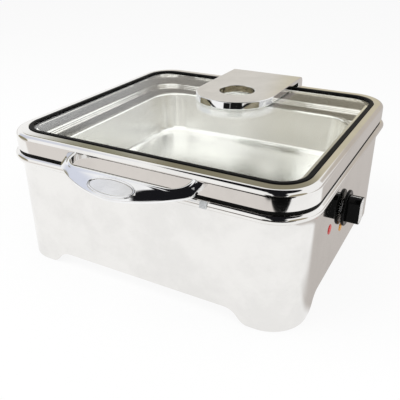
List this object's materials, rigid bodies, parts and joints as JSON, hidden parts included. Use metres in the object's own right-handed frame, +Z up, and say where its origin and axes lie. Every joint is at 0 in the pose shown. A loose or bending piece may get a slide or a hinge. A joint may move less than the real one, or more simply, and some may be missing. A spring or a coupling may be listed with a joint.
{
  "type": "electric chafing dish",
  "caption": "Square electric chafing dish in polished steel: water bath with a food pan, hinged glass lid with a front handle, thermostat knob and pilot lamps on the right wall.",
  "frame": {"origin": "on the table plane, under the middle of the bounding box of the closed dish", "axes": "+X to the right, towards the knob; +Y to the back, towards the hinge; +Z up"},
  "size_m": [0.4434, 0.466, 0.1955],
  "materials": {
    "polished_steel": "polished stainless steel sheet",
    "satin_steel": "satin stainless steel sheet",
    "chromed_casting": "bright chrome on a casting",
    "glass": "clear toughened glass",
    "black_rubber": "matt black silicone rubber",
    "black_plastic": "glossy black phenolic",
    "white_plastic": "white nylon",
    "red_lens": "clear red plastic",
    "amber_lens": "clear amber plastic",
    "zinc_steel": "zinc-plated steel",
    "aluminium": "cast or turned aluminium",
    "dark_steel": "dull dark steel",
    "copper": "drawn copper",
    "bronze": "sintered bronze",
    "mat": "mineral wool felt",
    "paint": "white paint filling"
  },
  "bodies": {
    "base": {"housing": "polished_steel", "water_pan": "polished_steel", "corner_brackets": "zinc_steel", "foot_pads": "black_rubber", "foot_screws": "zinc_steel", "bottom_cover": "satin_steel", "insulation_mat": "mat", "heating_plate": "aluminium", "heating_element": "dark_steel", "element_clamp": "zinc_steel", "clamp_nuts": "zinc_steel", "thermal_cutout": "black_plastic", "thermostat_body": "dark_steel", "thermostat_nut": "zinc_steel", "sensor_bulb": "copper", "red_lens": "red_lens", "amber_lens": "amber_lens", "lamp_bodies": "white_plastic", "lamp_nuts": "black_plastic", "terminal_block": "white_plastic", "cable_gland": "black_plastic", "gland_nut": "black_plastic", "hinge_bracket": "satin_steel", "bracket_screws": "zinc_steel", "hinge_shaft": "zinc_steel", "shaft_clips": "zinc_steel", "hinge_damper": "dark_steel"},
    "lid": {"lid_frame": "polished_steel", "lid_seal": "black_rubber", "glass_gasket": "black_rubber", "glass_pane": "glass", "handle": "chromed_casting", "handle_badge": "satin_steel", "handle_screws": "zinc_steel", "hinge_tongue": "chromed_casting", "tongue_pad": "black_rubber", "clamp_plate": "satin_steel", "clamp_screws": "zinc_steel", "hinge_bushes": "bronze"},
    "knob": {"knob": "black_plastic", "knob_cap": "aluminium", "knob_pointer": "paint", "thermostat_shaft": "zinc_steel"},
    "food_pan": {"food_pan": "satin_steel"}
  },
  "joints": [
    {"name": "lid_hinge", "type": "hinge", "parent": "base", "child": "lid", "pos_m": [-0.0075, 0.2235, 0.172], "axis": [-1, 0, 0], "range_deg": [0, 90]},
    {"name": "knob_turn", "type": "hinge", "parent": "base", "child": "knob", "pos_m": [0.1987, 0.003, 0.09], "axis": [-1, 0, 0], "range_deg": [0, 270]},
    {"name": "pan_lift", "type": "slide", "parent": "base", "child": "food_pan", "axis": [0, 0, 1], "range_m": [0, 0.02]}
  ]
}
